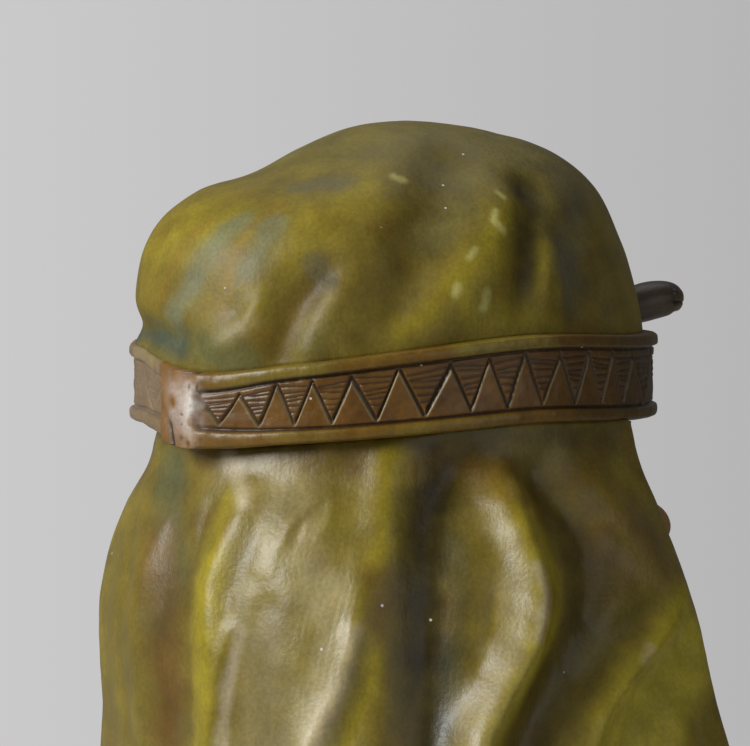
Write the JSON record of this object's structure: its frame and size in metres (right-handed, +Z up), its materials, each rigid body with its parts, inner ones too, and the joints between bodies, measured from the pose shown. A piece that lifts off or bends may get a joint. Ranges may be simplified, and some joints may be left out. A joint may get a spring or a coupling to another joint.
{
  "type": "art nouveau bust",
  "caption": "Patinated bust of a figure in a draped head cloth, held by a zigzag-carved band with a serpent at the brow; face and neck framed by the veil, cut flat below.",
  "frame": {"origin": "centre of the flat underside", "axes": "+Z up to the crown, the face looks along -Y, the figure's own right hand is towards -X"},
  "size_m": [0.238, 0.1791, 0.35],
  "materials": {
    "patinated_bronze": "satin coloured patina"
  },
  "bodies": {
    "root": {"bust": "patinated_bronze"}
  },
  "joints": []
}
